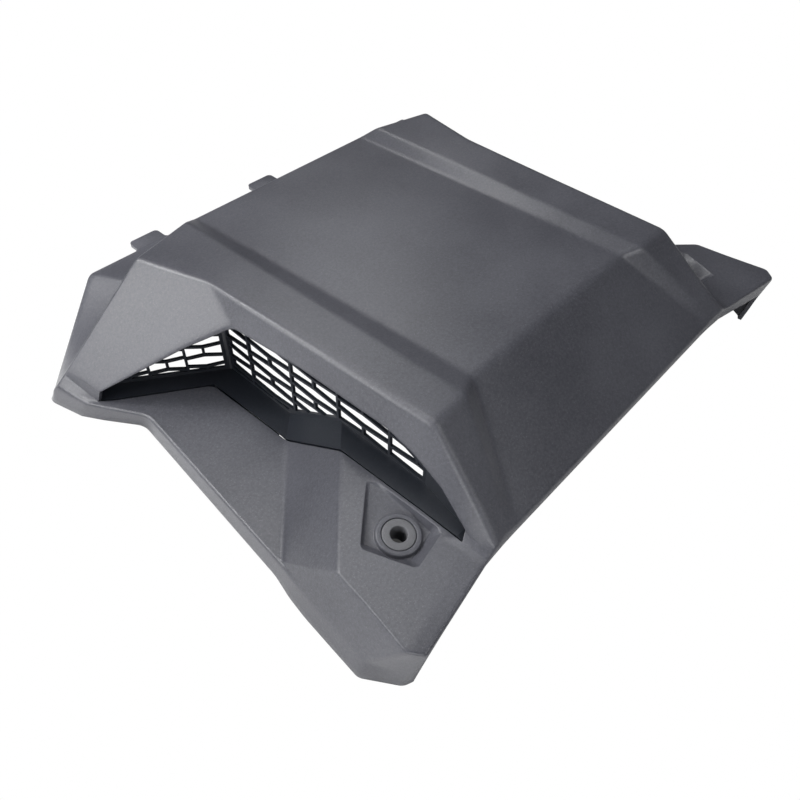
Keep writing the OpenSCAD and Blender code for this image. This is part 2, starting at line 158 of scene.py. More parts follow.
# Rows of key points of the right half, front to rear. Each runs from the skirt's foot over the
# skirt's crease, the deck's edge, the inlet's sill and upper edge, the rib's crease and its
# shoulder to the edge of the centre panel
KEY_ROWS = [
    [(184.5, 7, 0), (183.5, 5, 13), (181, 3, LIP_Z - 6), (131, 11.5, LIP_Z - 2),
     (126.5, 11.5, LIP_Z - 1.5), (119.5, 11.8, LIP_Z - 1), (112, 12, LIP_Z - 0.5),
     (104, 12, LIP_Z)],
    [(189.5, 9, 0), (188.5, 6, 14), (185.5, -0.2, DECK_Z - 1), (130.5, 8.7, DECK_Z),
     (126.5, 9, DECK_Z + 1), rib_end(0), shoulder_end(0), panel_end(0)],
    [(CORNER_HW, 28, 0), (197.8, 26.6, APRON_Z), (190.8, 7, DECK_Z), (131.2, 22, DECK_Z + 0.6),
     (128.2, 24.5, DECK_Z + 4.5), rib_end(0.28), shoulder_end(0.28), panel_end(0.28)],
    [(199.8, 49, 0), (196.4, 44, APRON_Z), (188.7, 20, DECK_Z), (131, 52, DECK_Z + 0.6),
     (124.6, 45.7, DECK_Z + 17.5), rib_end(0.7), shoulder_end(0.7), panel_end(0.7)],
    [(198, 70, 0), (195, 62, APRON_Z), (186.3, 36, DECK_Z), (131.5, 84, DECK_Z + 0.6),
     (122.6, 66, INLET_Z - 4), rib_end(1), shoulder_end(1), panel_end(1)],
    [(196, 84, 0), (193.2, 79, APRON_Z), (184, 57.5, DECK_Z), (132, 108, DECK_Z + 0.5),
     (121.7, 85, INLET_Z - 0.5), rib(0.2), shoulder(0.2), panel(0.2)],
    [(192.5, 99, 0), (190.8, 94, APRON_Z), (187.8, 96.6, APRON_Z), (133.3, 154.5, APRON_Z),
     (123.4, 150, INLET_Z), rib(0.55), shoulder(0.55), panel(0.55)],
    [(179.3, 239, 0), (178.8, 231, APRON_Z), (174, 231.5, APRON_Z), (135, 223, APRON_Z),
     (127.5, 201.5, INLET_Z - 0.5), rib(1), shoulder(1), panel(1)],
    [(194.5, 262, 0), (191, 252.4, APRON_Z), (187, 254.3, APRON_Z), (183.5, 255.6, APRON_Z),
     (150, 224, 55.6), rib(1.35), shoulder(1.35), panel(1.35)],
    [(202, 275, 0), (198.8, 267, APRON_Z), (194.9, 264.8, APRON_Z), (192.6, 263.4, APRON_Z),
     (191.2, 262.3, APRON_Z + 7.3), rib(1.8), shoulder(1.8), panel(1.8)],
    [(WING_HW + 0.4, RIM_Y + 16.5, 0), *map(wing_rim, RIM_STOPS),
     RIB_REAR, SHOULDER_REAR, PANEL_REAR],
    [(WING_HW + 0.5, RIM_Y + 19.2, 0), *map(wing_foot, RIM_STOPS),
     wing_foot(0), (92, RIM_Y + 16, FLANGE_Z + 2), (80.5, RIM_Y + 22.5, FLANGE_Z + 0.5)],
    [*map(wing_edge, EDGE_STOPS), (100, FLANGE_Y, FLANGE_Z), (82, FLANGE_Y, FLANGE_Z)],
]
# How far the inlet's upper edge turns in, row by row, and how far it sinks for each millimetre
LIP_TURN = [0, 0, 1.2, 3.5, 4, 4, 4.5, 5, 4, 1.2, 0, 0, 0]
LIP_SINK = 0.15
# The inlet's first and last row and the deck's, and the columns of the deck's edge, sill and lip
INLET_ROWS = (2, 9)
DECK_ROWS = (2, 5)
DECK_EDGE, SILL, LIP = 2, 3, 4

# Rounding of the creases along a row (right half) and along a column. A fold is 1 where the
# crease stands out, -1 where it is sunk
ROW_REACH = [0, 2.5, 2, 0, 0, 6, 3.4, 2.6, 2.6]
ROW_FOLD = [0, 1, 1, 0, 0, 1, 1, 1, -1]
COLUMN_REACH = [0, 2.5, 2.5, 0, 4, 3, 4, 5, 5, 0, 2, 3, 0]
COLUMN_FOLD = [0, 1, 1, 0, 1, 1, -1, 1, 1, 0, 1, -1, 0]


def key_grid():
    """Key points of the whole cover: 13 rows of 18, the left half mirrored from the right.

    The fifth key of a half row is the inner end of the turned-in lip over the inlet; where the
    wall is closed it lies halfway between its neighbours.
    """
    half = np.array([[np.asarray(p, dtype=float) for p in row] for row in KEY_ROWS])
    turn = np.array(LIP_TURN)[:, None]
    turned = half[:, LIP] + turn * point(-1, 0, -LIP_SINK)
    halfway = (half[:, SILL] + half[:, LIP]) / 2
    lip = np.where(turn > 0, turned, halfway)
    half = np.insert(half, LIP, lip, axis=1)
    left = half * point(-1, 1, 1)
    return np.concatenate([left, half[:, ::-1]], axis=1)


def prism(outline, low, high):
    """Closed slab over an outline in plan, with its top and bottom as one face each."""
    count = len(outline)
    points = np.concatenate([
        np.column_stack([outline, np.full(count, high)]),
        np.column_stack([outline, np.full(count, low)]),
    ])
    top = np.arange(count)
    side = np.stack([top, top + count, np.roll(top, -1) + count, np.roll(top, -1)], axis=1)
    return points, [top.tolist(), (top[::-1] + count).tolist()] + side.tolist()


def arc(x, y, radius, start, end, steps=8):
    """Arc in plan, (x + r cos a, y + r sin a), from one angle in degrees to another."""
    angle = np.radians(np.linspace(start, end, steps + 1))
    return np.column_stack([x + radius * np.cos(angle), y + radius * np.sin(angle)])


TONGUE_W = 22.0
TONGUE_PITCH = 102.0
TONGUE_ROUND = 3.0
# The web under a tongue: half width, reach from the flange's edge, and how far it drops
GUSSET_HW = 1.0
GUSSET_REACH = (-14.0, 8.0)
GUSSET_DROP = 6.5
# The pins under the apron: a shank and a head twice as wide, below the apron's face
STAKE_R = 1.5
STAKE_SHANK = (-6.1, -1.0)
STAKE_HEAD = (-6.4, -5.2)
STAKES = ((136.5, 176.9), (137.5, 206.7), (162, 236.5))


def tongue(centre):
    """A locating tongue: rounded tip corners and a fillet into the flange at each side."""
    half, tip, rest = TONGUE_W / 2, COVER_LEN - TONGUE_ROUND, FLANGE_Y + TONGUE_ROUND
    root_hw, root_y = half + TONGUE_ROUND, FLANGE_Y - 3
    outline = np.concatenate([
        [[centre - root_hw, root_y], [centre + root_hw, root_y]],
        arc(centre + half + TONGUE_ROUND, rest, TONGUE_ROUND, 270, 180),
        arc(centre + half - TONGUE_ROUND, tip, TONGUE_ROUND, 0, 90),
        arc(centre - half + TONGUE_ROUND, tip, TONGUE_ROUND, 90, 180),
        arc(centre - half - TONGUE_ROUND, rest, TONGUE_ROUND, 0, -90),
    ])
    return prism(outline, FLANGE_Z - WALL + 0.05, FLANGE_Z - 0.02)


def gusset(centre):
    """A thin web under a tongue's root."""
    left, right = centre - GUSSET_HW, centre + GUSSET_HW
    front, rear = FLANGE_Y + GUSSET_REACH[0], FLANGE_Y + GUSSET_REACH[1]
    corners = np.array([[left, front], [right, front], [right, rear], [left, rear]])
    points, faces = prism(corners, FLANGE_Z - WALL - 0.5, FLANGE_Z - WALL + 0.3)
    points[[4, 5], 2] -= GUSSET_DROP
    return points, faces


def stake(x, y):
    """A pin under the apron with the flat head that holds the insert's ledge."""
    return [
        prism(arc(x, y, radius, 0, 345, 23), APRON_Z + low, APRON_Z + high)
        for radius, (low, high) in ((STAKE_R, STAKE_SHANK), (2 * STAKE_R, STAKE_HEAD))
    ]


def small_parts():
    """Tongues, gussets and pins of the cover, as closed bodies that start inside its wall."""
    parts = []
    for k in (-1, 0):
        parts += [tongue(k * TONGUE_PITCH), gusset(k * TONGUE_PITCH)]
    for side in (-1, 1):
        for x, y in STAKES:
            parts += stake(side * x, y)
    return parts


def length(v):
    """Length of each vector along the last axis, kept off zero for dividing."""
    return np.maximum(np.linalg.norm(v, axis=-1, keepdims=True), 1e-9)


# A bend takes at most this share of the stretch beside it
BEND_SHARE = 0.45


def bend(a, b, c, reach, steps=BEND_STEPS):
    """Rounds the corner b between a and c with the curve (1-t)^2 start + 2t(1-t) b + t^2 end.

    It starts and ends reach away from b.
    """
    start = b + (a - b) / length(a - b) * np.minimum(reach, length(a - b) * BEND_SHARE)
    end = b + (c - b) / length(c - b) * np.minimum(reach, length(c - b) * BEND_SHARE)
    t = np.linspace(0, 1, steps + 1)[:, None, None]
    return (1 - t) ** 2 * start + 2 * t * (1 - t) * b + t ** 2 * end


def soften(keys, reach, fills, steps=BEND_STEPS):
    """Rounds lines of key points along the first axis and fills the straights between bends.

    fills gives the number of cells of each stretch. Returns the points and each key's first and
    last place in the line.
    """
    stops = [
        keys[k:k + 1] if reach[k] == 0 else bend(keys[k - 1], keys[k], keys[k + 1], reach[k], steps)
        for k in range(len(keys))
    ]
    line = [stops[0]]
    places = [(0, len(stops[0]) - 1)]
    total = len(stops[0])
    for k, fill in enumerate(fills):
        t = np.linspace(0, 1, fill + 1)[1:-1, None, None]
        line += [mix(stops[k][-1:], stops[k + 1][:1], t), stops[k + 1]]
        first = total + fill - 1
        total = first + len(stops[k + 1])
        places.append((first, total - 1))
    return np.concatenate(line), places


def fills_for(keys, cell=CELL):
    """Number of cells in each stretch along the first axis, from its longest line."""
    spans = np.linalg.norm(np.diff(keys, axis=0), axis=-1).max(axis=1)
    return np.maximum(2, np.ceil(spans / cell)).astype(int)


def soften_grid(keys, row_reach, column_reach, row_fills, column_fills):
    """Rounds a grid of key points along its rows and then along its columns."""
    rows, row_places = soften(keys.swapaxes(0, 1), row_reach, row_fills)
    grid, column_places = soften(rows.swapaxes(0, 1), column_reach, column_fills)
    return grid, row_places, column_places


def cell_normals(grid):
    """Unit normal of every cell, from the cross product of its diagonals."""
    n = np.cross(grid[1:, 1:] - grid[:-1, :-1], grid[1:, :-1] - grid[:-1, 1:])
    return n / length(n)


def inset(keys, depth, keep):
    """Moves key points inwards so that the kept cells at each all move by depth (a mitre offset).

    A point moves along the mean of its cells' normals by depth over the least cosine between
    that mean and a normal, which is taken as 0.6 at least. Nothing goes below the foot.
    """
    normals = cell_normals(keys) * keep[:, :, None]
    around = np.pad(normals, ((1, 1), (1, 1), (0, 0)))
    met = np.stack([around[:-1, :-1], around[:-1, 1:], around[1:, :-1], around[1:, 1:]])
    mean = met.sum(axis=0)
    mean /= length(mean)
    closeness = (met * mean).sum(axis=-1, keepdims=True)
    closeness = np.where(np.abs(met).sum(axis=-1, keepdims=True) > 0, closeness, 1).min(axis=0)
    moved = keys - mean * depth / np.maximum(closeness, 0.6)
    moved[:, :, 2] = np.maximum(moved[:, :, 2], 0)
    return moved


def inner_reach(reach, fold):
    """Rounding of the inner skin: 0.7 walls less where a crease stands out, 0.7 more if sunk."""
    return [0 if r == 0 else max(0.8, r - 0.7 * WALL * f) for r, f in zip(reach, fold)]


# The fastener's pocket, both outlines measured from the bush's centre
BUSH_AT = point(147.3, 52, 38.6)
BUSH_LEAN = math.radians(9)
BUSH_BORE_R = 4.5
BUSH_FACE_R = 8.8
BUSH_NECK_R = 6.5
BOSS_R = 12.3
BOSS_H = 2.2
FACE_H = 1.6
FIT = 0.3
COLLAR = 7.5
BARB_H = 2.4
BUSH_SIDES = 96
# The deck rises by this much over its width, from its outer edge to the sill
DECK_RISE = 0.6
DECK_OUTER = 188
DECK_WIDTH = 57
POCKET_FLOOR = [(-11.3, 31.5), (-13.9, 5.6), (-13.3, -10), (5.5, -13.1), (16.7, 9.2)]
POCKET_MOUTH = [(-10.3, 32.2), (-14, 28), (-14.5, -13.4), (-12.6, -16.7), (8, -20.7),
                (10.1, -19.1), (19.7, 5.3), (19.1, 7.6)]
# How much wider the tray's underside is than the pocket, at its floor and at its mouth, and how
# far the tray keeps off the sill's face
TRAY_FLOOR_GROW = 1.6
TRAY_MOUTH_GROW = 2.4
TRAY_OFF_SILL = 1.1
RING = 192


def polar_outline(corners, grow, angles):
    """Distance from the centre to a polygon grown by grow, at each angle.

    A side at distance d with its normal at angle n is met at d / cos(a - n), and the nearest
    side counts.
    """
    corner = np.array(corners, dtype=float)
    side = np.roll(corner, -1, axis=0) - corner
    normal = np.stack([side[:, 1], -side[:, 0]], axis=1)
    normal /= length(normal)
    normal *= np.sign((normal * corner).sum(axis=1, keepdims=True))
    reach = (normal * corner).sum(axis=1) + grow
    ray = np.stack([np.cos(angles), np.sin(angles)], axis=1)
    facing = ray @ normal.T
    distance = np.where(facing > 1e-3, reach / np.maximum(facing, 1e-3), np.inf)
    return distance.min(axis=1)


def at_bush(radius, height, angles):
    """Ring round the bush's leaning axis, with radius and height in the bush's own frame.

    (r cos a, r sin a, h) is turned about X by the lean and moved to the bush's place.
    """
    u, v = radius * np.cos(angles), radius * np.sin(angles)
    w = np.zeros_like(u) + height
    y = v * math.cos(BUSH_LEAN) - w * math.sin(BUSH_LEAN)
    z = v * math.sin(BUSH_LEAN) + w * math.cos(BUSH_LEAN)
    return BUSH_AT + np.stack([u, y, z], axis=1)


def at_deck(radius, height, angles):
    """Ring round the bush in plan, at the height of the deck plus height."""
    x = BUSH_AT[0] + radius * np.cos(angles)
    y = BUSH_AT[1] + radius * np.sin(angles)
    deck = DECK_Z + DECK_RISE * (DECK_OUTER - x) / DECK_WIDTH
    return np.stack([x, y, deck + height], axis=1)


def pocket_rings():
    """Rings of the right pocket, with every fold rounded.

    They run from the deck down its wall, over its floor and boss, through the bush's hole and out
    along the tray's underside.
    """
    angles = np.linspace(0, 2 * math.pi, RING, endpoint=False)
    mouth = polar_outline(POCKET_MOUTH, 0, angles)
    floor = np.maximum(polar_outline(POCKET_FLOOR, 0, angles), BOSS_R + 0.5)
    floor = np.minimum(floor, mouth - 0.2)
    tray_floor = at_bush(floor + TRAY_FLOOR_GROW, -WALL, angles)
    tray_mouth = at_deck(mouth + TRAY_MOUTH_GROW, -WALL, angles)
    sill_limit = SILL_HW - TRAY_OFF_SILL
    tray_floor[:, 0] = np.maximum(tray_floor[:, 0], sill_limit)
    tray_mouth[:, 0] = np.maximum(tray_mouth[:, 0], sill_limit)
    tray_floor[:, 2] = np.minimum(tray_floor[:, 2], DECK_Z - WALL - 0.1)
    hole = BUSH_NECK_R + FIT
    keys = np.stack([
        at_deck(mouth + 0.8, 0, angles),
        at_deck(mouth, 0, angles),
        at_bush(floor, 0, angles),
        at_bush(BOSS_R, 0, angles),
        at_bush(BOSS_R - 0.5, BOSS_H, angles),
        at_bush(BUSH_FACE_R + FIT, BOSS_H, angles),
        at_bush(BUSH_FACE_R + FIT, BOSS_H - FACE_H, angles),
        at_bush(hole, BOSS_H - FACE_H, angles),
        at_bush(hole, -WALL - COLLAR, angles),
        at_bush(BOSS_R - 2, -WALL - COLLAR, angles),
        at_bush(BOSS_R - 2, -WALL, angles),
        tray_floor,
        tray_mouth,
    ])
    # How far each ring's fold is rounded, and the cells in each stretch between two rings
    reach = [0, 0.7, 1.2, 0.6, 0.8, 0.4, 0.3, 0.3, 0.5, 0.5, 0.8, 1.5, 0]
    fills = [1, 3, 2, 1, 2, 1, 2, 2, 2, 1, 3, 3]
    return soften(keys, reach, fills, steps=4)[0]


def zipper(loop, ring, loop_points, ring_points, centre):
    """Triangles between a loop and a ring round the same centre, joined in order of angle."""
    def turns(points):
        """Unbroken angle of each point round the centre, the first one within one turn."""
        angle = np.unwrap(np.arctan2(points[:, 1] - centre[1], points[:, 0] - centre[0]))
        return angle - 2 * math.pi * np.floor(angle[0] / (2 * math.pi))

    def forward(numbers, points):
        """Numbers in rising order of angle from the least, and their angles with a last turn."""
        angle = turns(points)
        if angle[-1] < angle[0]:
            numbers, points = numbers[::-1], points[::-1]
            angle = turns(points)
        start = np.argmin(np.mod(angle, 2 * math.pi))
        numbers, points = np.roll(numbers, -start), np.roll(points, -start, axis=0)
        angle = turns(points)
        return numbers, np.append(angle, angle[0] + 2 * math.pi)

    loop, loop_angle = forward(loop, loop_points)
    ring, ring_angle = forward(ring, ring_points)
    loop_middle = (loop_angle[:-1] + loop_angle[1:]) / 2
    ring_middle = (ring_angle[:-1] + ring_angle[1:]) / 2
    ring_now = np.searchsorted(ring_middle, loop_middle) % len(ring)
    loop_now = np.searchsorted(loop_middle, ring_middle) % len(loop)
    outer = np.stack([loop, np.roll(loop, -1), ring[ring_now]], axis=1)
    inner = np.stack([np.roll(ring, -1), ring, loop[loop_now]], axis=1)
    return np.concatenate([outer, inner])


def region_loop(number, rows, columns):
    """Numbers of the points round a rectangle of cells, in order."""
    (top, bottom), (first, last) = rows, columns
    return np.concatenate([
        number[top, first:last], number[top:bottom, last],
        number[bottom, last:first:-1], number[bottom:top:-1, first]
    ])


def sheet_faces(number, keep, closed):
    """Quads of the outer and inner skin over the kept cells, and walls round the closed ones.

    The inner skin's points are numbered after the outer skin's. A wall stands wherever a closed
    cell has no closed neighbour, so it runs round the cover and round the inlets.
    """
    count = number.size
    quads = []
    i, j = np.nonzero(keep)
    a, b, c, d = number[i, j], number[i, j + 1], number[i + 1, j + 1], number[i + 1, j]
    quads += [np.stack([a, b, c, d], axis=1), np.stack([d, c, b, a], axis=1) + count]
    fence = np.pad(closed, 1)
    i, j = np.nonzero(closed)
    a, b, c, d = number[i, j], number[i, j + 1], number[i + 1, j + 1], number[i + 1, j]
    for di, dj, p, q in ((-1, 0, a, b), (0, 1, b, c), (1, 0, c, d), (0, -1, d, a)):
        free = ~fence[i + 1 + di, j + 1 + dj]
        quads.append(np.stack([q[free], p[free], p[free] + count, q[free] + count], axis=1))
    return quads


def cover_skins():
    """The rounded outer and inner skin, with each key row's and key column's places in them."""
    keys = key_grid()
    last = keys.shape[1] - 1
    keep = np.ones((len(keys) - 1, last), dtype=bool)
    for column in (SILL, last - SILL - 1):
        keep[INLET_ROWS[0]:INLET_ROWS[1], column] = False
    row_reach = ROW_REACH + ROW_REACH[::-1]
    row_fold = ROW_FOLD + ROW_FOLD[::-1]
    row_fills = fills_for(keys.swapaxes(0, 1))
    column_fills = fills_for(keys)
    outer, across, along = soften_grid(keys, row_reach, COLUMN_REACH, row_fills, column_fills)
    inner, _, _ = soften_grid(
        inset(keys, WALL, keep), inner_reach(row_reach, row_fold),
        inner_reach(COLUMN_REACH, COLUMN_FOLD), row_fills, column_fills
    )
    return outer, inner, across, along


def cover_shell_mesh():
    """Points and faces of the cover: outer and inner skin, rims, and the two pockets zipped in."""
    outer, inner, across, along = cover_skins()
    last = len(across) - 1
    rows, columns = outer.shape[:2]
    count = rows * columns
    number = np.arange(count).reshape(rows, columns)
    closed = np.ones((rows - 1, columns - 1), dtype=bool)
    inlet = slice(along[INLET_ROWS[0]][1], along[INLET_ROWS[1]][0])
    closed[inlet, across[SILL][1]:across[SILL + 1][0]] = False
    closed[inlet, across[last - SILL - 1][1]:across[last - SILL][0]] = False
    deck_rows = (along[DECK_ROWS[0]][1], along[DECK_ROWS[1]][0])
    decks = {
        -1: (across[DECK_EDGE][1], across[SILL][0]),
        1: (across[last - SILL][1], across[last - DECK_EDGE][0]),
    }
    keep = closed.copy()
    for first, end in decks.values():
        keep[deck_rows[0]:deck_rows[1], first:end] = False
    quads = sheet_faces(number, keep, closed)

    skins = [outer.reshape(-1, 3), inner.reshape(-1, 3)]
    points = list(skins)
    triangles = []
    rings = pocket_rings()
    base = 2 * count
    for side, deck_columns in decks.items():
        mirror = point(side, 1, 1)
        placed = rings * mirror
        ring_number = base + np.arange(len(placed) * RING).reshape(-1, RING)
        base += ring_number.size
        points.append(placed.reshape(-1, 3))
        after = np.roll(ring_number, -1, axis=1)
        band = np.stack([ring_number[:-1], ring_number[1:], after[1:], after[:-1]], axis=-1)
        band = band.reshape(-1, 4)
        quads.append(band[:, ::-1] if side > 0 else band)
        loop = region_loop(number, deck_rows, deck_columns)
        centre = BUSH_AT * mirror
        over = zipper(loop, ring_number[0], skins[0][loop], placed[0], centre)
        under = zipper(loop + count, ring_number[-1], skins[1][loop], placed[-1], centre)
        triangles += [over, under[:, ::-1]]

    points = np.concatenate(points)
    quads, triangles = np.concatenate(quads), np.concatenate(triangles)
    corners = np.concatenate([quads.ravel(), triangles.ravel()])
    used, flat = np.unique(corners, return_inverse=True)
    faces = flat[:quads.size].reshape(-1, 4).tolist() + flat[quads.size:].reshape(-1, 3).tolist()
    points = [points[used]]
    total = len(used)
    for part_points, part_faces in small_parts():
        points.append(part_points)
        faces += [[corner + total for corner in face] for face in part_faces]
        total += len(part_points)
    return in_frame(np.concatenate(points)), faces


def in_frame(points):
    """Millimetres from the front tips, as metres in the part's own frame."""
    return (points + point(0, FRONT_Y, 0)) * MM


def new_piece(name, points, faces, material):
    """Makes an object from points and faces, smooth-shaded, and puts it on the cover's body."""
    mesh = bpy.data.meshes.new(name)
    mesh.from_pydata(np.asarray(points).tolist(), [], faces)
    mesh.polygons.foreach_set("use_smooth", np.ones(len(mesh.polygons), dtype=bool))
    mesh.validate()
    mesh.update()
    piece = bpy.data.objects.new(name, mesh)
    bpy.context.collection.objects.link(piece)
    piece.data.materials.append(material)
    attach(piece, "root")
    return piece


def break_edges(piece, name, width, angle):
    """Rounds every edge that turns by more than angle degrees, by width millimetres."""
    bevel = piece.modifiers.new(name, "BEVEL")
    bevel.width = width * MM
    bevel.segments = 2
    bevel.limit_method = "ANGLE"
    bevel.angle_limit = math.radians(angle)


def link(tree, source, target):
    """Joins an output socket to an input socket."""
    tree.links.new(source, target)


def node(tree, kind, **settings):
    """Adds a shader node and sets its own properties, such as operation or data_type."""
    made = tree.nodes.new(kind)
    for name, value in settings.items():
        setattr(made, name, value)
    return made


# Moves the cloud on the part, so that a darker patch of it, a painted reflection, lies on the
# centre panel's rear. Of the nine shifts tried, its tones came near the photograph's
CLOUD_SHIFT = (0.71, 0.31, 1.19)


def grain_and_painted_reflection():
    """Node group for mould grain and a painted reflection, four noises of the object's own
    coordinates.

    Height is a fine pebble, Cloud a soft blotch some 90 mm across, random tone except for the
    darker one on the cover's centre panel, which is a painted reflection, Mottle a grey spatter
    under 2 mm, and Specks the rare peaks of a still finer noise.
    """
    group = bpy.data.node_groups.new("grain_and_painted_reflection", "ShaderNodeTree")
    sockets = (("Vector", "INPUT", "NodeSocketVector"), ("Grain Scale", "INPUT", "NodeSocketFloat"),
               ("Height", "OUTPUT", "NodeSocketFloat"), ("Cloud", "OUTPUT", "NodeSocketFloat"),
               ("Mottle", "OUTPUT", "NodeSocketFloat"), ("Specks", "OUTPUT", "NodeSocketFloat"))
    for name, direction, kind in sockets:
        group.interface.new_socket(name=name, in_out=direction, socket_type=kind)
    inside = node(group, "NodeGroupInput")
    outside = node(group, "NodeGroupOutput")

    pebble = node(group, "ShaderNodeTexNoise")
    pebble.inputs["Detail"].default_value = 4
    link(group, inside.outputs["Vector"], pebble.inputs["Vector"])
    link(group, inside.outputs["Grain Scale"], pebble.inputs["Scale"])
    link(group, pebble.outputs["Fac"], outside.inputs["Height"])

    # Cloud: random tone, and on the cover's centre panel a darker patch that is a painted
    # reflection
    cloud = node(group, "ShaderNodeTexNoise")
    cloud.inputs["Scale"].default_value = 11
    cloud.inputs["Detail"].default_value = 3
    patches = node(group, "ShaderNodeMapRange")
    patches.inputs["From Min"].default_value = 0.32
    patches.inputs["From Max"].default_value = 0.68
    shifted = node(group, "ShaderNodeVectorMath", operation="ADD")
    shifted.inputs[1].default_value = CLOUD_SHIFT
    link(group, inside.outputs["Vector"], shifted.inputs[0])
    link(group, shifted.outputs[0], cloud.inputs["Vector"])
    link(group, cloud.outputs["Fac"], patches.inputs["Value"])
    link(group, patches.outputs["Result"], outside.inputs["Cloud"])

    mottle = node(group, "ShaderNodeTexNoise")
    mottle.inputs["Scale"].default_value = 620
    mottle.inputs["Detail"].default_value = 2
    spread = node(group, "ShaderNodeMapRange")
    spread.inputs["From Min"].default_value = 0.3
    spread.inputs["From Max"].default_value = 0.7
    link(group, inside.outputs["Vector"], mottle.inputs["Vector"])
    link(group, mottle.outputs["Fac"], spread.inputs["Value"])
    link(group, spread.outputs["Result"], outside.inputs["Mottle"])

    dust = node(group, "ShaderNodeTexNoise")
    dust.inputs["Scale"].default_value = 1500
    dust.inputs["Detail"].default_value = 1
    sharp = node(group, "ShaderNodeMapRange")
    sharp.inputs["From Min"].default_value = 0.62
    sharp.inputs["From Max"].default_value = 0.72
    link(group, inside.outputs["Vector"], dust.inputs["Vector"])
    link(group, dust.outputs["Fac"], sharp.inputs["Value"])
    link(group, sharp.outputs["Result"], outside.inputs["Specks"])
    return group


# How much of the tone follows the mottle and not the cloud, how strongly the flecks show, how far
# the roughness strays, and the grain's depth in metres
MOTTLE_SHARE = 0.45
FLECK_SHARE = 0.15
GLOSS_SPREAD = 0.05
GRAIN_DEPTH = 0.0002


def plastic(name, grain, dark, light, speck, roughness, grain_scale, bump):
    """Moulded plastic: two close tones mixed by cloud and mottle, specks on top, a grain bump.
    The cloud's darker patch on the cover's centre panel is a painted reflection.
    """
    material = bpy.data.materials.new(name)
    material.use_nodes = True
    tree = material.node_tree
    shader = tree.nodes["Principled BSDF"]
    place = node(tree, "ShaderNodeTexCoord")
    texture = node(tree, "ShaderNodeGroup", node_tree=grain)
    texture.inputs["Grain Scale"].default_value = grain_scale
    link(tree, place.outputs["Object"], texture.inputs["Vector"])

    tone = node(tree, "ShaderNodeMix", data_type="RGBA")
    tone.inputs["A"].default_value = (*dark, 1)
    tone.inputs["B"].default_value = (*light, 1)
    mottle = node(tree, "ShaderNodeMix", data_type="FLOAT")
    mottle.inputs["Factor"].default_value = MOTTLE_SHARE
    link(tree, texture.outputs["Cloud"], mottle.inputs["A"])
    link(tree, texture.outputs["Mottle"], mottle.inputs["B"])
    link(tree, mottle.outputs["Result"], tone.inputs["Factor"])
    fleck = node(tree, "ShaderNodeMix", data_type="RGBA")
    fleck.inputs["B"].default_value = (*speck, 1)
    fleck_share = node(tree, "ShaderNodeMath", operation="MULTIPLY")
    fleck_share.inputs[1].default_value = FLECK_SHARE
    link(tree, texture.outputs["Specks"], fleck_share.inputs[0])
    link(tree, fleck_share.outputs[0], fleck.inputs["Factor"])
    link(tree, tone.outputs["Result"], fleck.inputs["A"])
    link(tree, fleck.outputs["Result"], shader.inputs["Base Color"])

    rough = node(tree, "ShaderNodeMapRange")
    rough.inputs["To Min"].default_value = roughness - GLOSS_SPREAD
    rough.inputs["To Max"].default_value = roughness + GLOSS_SPREAD
    link(tree, texture.outputs["Cloud"], rough.inputs["Value"])
    link(tree, rough.outputs["Result"], shader.inputs["Roughness"])

    relief = node(tree, "ShaderNodeBump")
    relief.inputs["Strength"].default_value = bump
    relief.inputs["Distance"].default_value = GRAIN_DEPTH
    link(tree, texture.outputs["Height"], relief.inputs["Height"])
    link(tree, relief.outputs["Normal"], shader.inputs["Normal"])
    return material


def cover_piece(material):
    """The cover's skin with its tongues, its free edges broken by a small bevel."""
    points, faces = cover_shell_mesh()
    piece = new_piece("cover_skin", points, faces, material)
    break_edges(piece, "broken_edges", 0.45, 50)
    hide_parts("cover_shell")


# Foot and top of the insert's solid cheek, from the mesh wall's front end to the floor's nose
CHEEK_FOOT = np.array([(115.2, 61, 43.6), (119.2, 42, 43.6), (122.5, 22, 42.8)])
CHEEK_TOP = np.array([(115.2, 61, 62), (119.2, 45, 56.5), (122.5, 27, 45.8)])
CHEEK_T = 1.8


def cheek(side):
    """A plate two cells long between the foot line and the top line, thickened along X."""
    thick = point(CHEEK_T, 0, 0)
    ring = np.stack([CHEEK_FOOT, CHEEK_TOP, CHEEK_TOP + thick, CHEEK_FOOT + thick])
    points = in_frame(ring.reshape(-1, 3) * point(side, 1, 1))
    faces = [(0, 3, 6, 9), (11, 8, 5, 2)]
    for row in range(4):
        below = (row + 1) % 4
        for k in range(2):
            faces.append((row * 3 + k, row * 3 + k + 1, below * 3 + k + 1, below * 3 + k))
    if side < 0:
        faces = [(face[0], *face[:0:-1]) for face in faces]
    return points, faces


# Where the insert's floor ends under the sill, in half widths and distances from the front tips,
# and how far its edge, its waist and its rear tip are drawn out to close on the cover
FLOOR_EDGE = (128.2, 132, 158)
FLOOR_WAIST = (20, 40)
REAR_TIP_HW = 188.5
EDGE_OUT, WAIST_OUT, TIP_OUT = 0.7, 0.9, 2.2


def seated(corners):
    """Insert points with its floor's edge and rear tip drawn out towards the sill.

    x grows by EDGE_OUT along the edge, by WAIST_OUT more at its waist, and by TIP_OUT at the tip,
    away from the middle on either side.
    """
    x, y = np.abs(corners[:, 0]), corners[:, 1] - FRONT_Y
    edge = (x > FLOOR_EDGE[0]) & (x < FLOOR_EDGE[1]) & (y < FLOOR_EDGE[2])
    waist = edge & (y > FLOOR_WAIST[0]) & (y < FLOOR_WAIST[1])
    outward = EDGE_OUT * edge + WAIST_OUT * waist + TIP_OUT * (x > REAR_TIP_HW)
    moved = corners.copy()
    moved[:, 0] += np.copysign(outward, corners[:, 0])
    return moved


